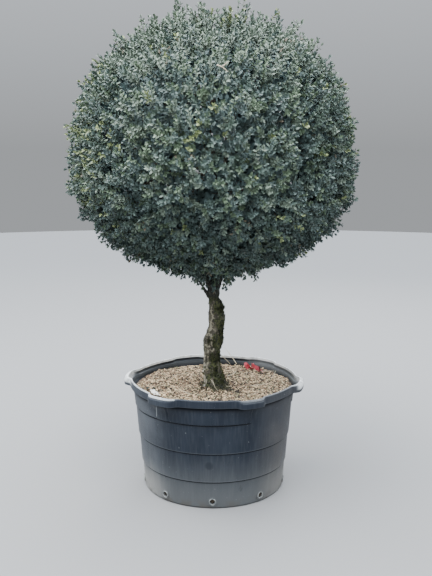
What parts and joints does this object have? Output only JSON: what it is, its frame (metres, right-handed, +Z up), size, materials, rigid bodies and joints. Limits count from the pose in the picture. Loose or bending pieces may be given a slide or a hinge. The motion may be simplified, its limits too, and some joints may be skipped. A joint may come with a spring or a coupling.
{
  "type": "lollipop topiary",
  "caption": "Evergreen shrub clipped to a dense ball on a clear trunk, growing in a tapered nursery tub with flared hand grips around its rim.",
  "frame": {"origin": "centre of the tub's flat underside", "axes": "+Z up through the tub towards the crown; -Y towards the side that faces the viewer in the reference view"},
  "size_m": [1.3082, 1.3195, 2.1855],
  "materials": {
    "tub": "weathered blue-grey moulded plastic, dusty towards the foot",
    "mix": "chopped bark, damp",
    "bark": "rough grey-brown bark with moss",
    "foliage": "dense small leathery leaves, satin dark green"
  },
  "bodies": {
    "root": {"tub": "tub", "potting_mix": "mix", "trunk": "bark", "bough_leader": "bark", "bough_left": "bark", "bough_front": "bark", "bough_right": "bark", "bough_back": "bark", "crown": "foliage"}
  },
  "joints": []
}
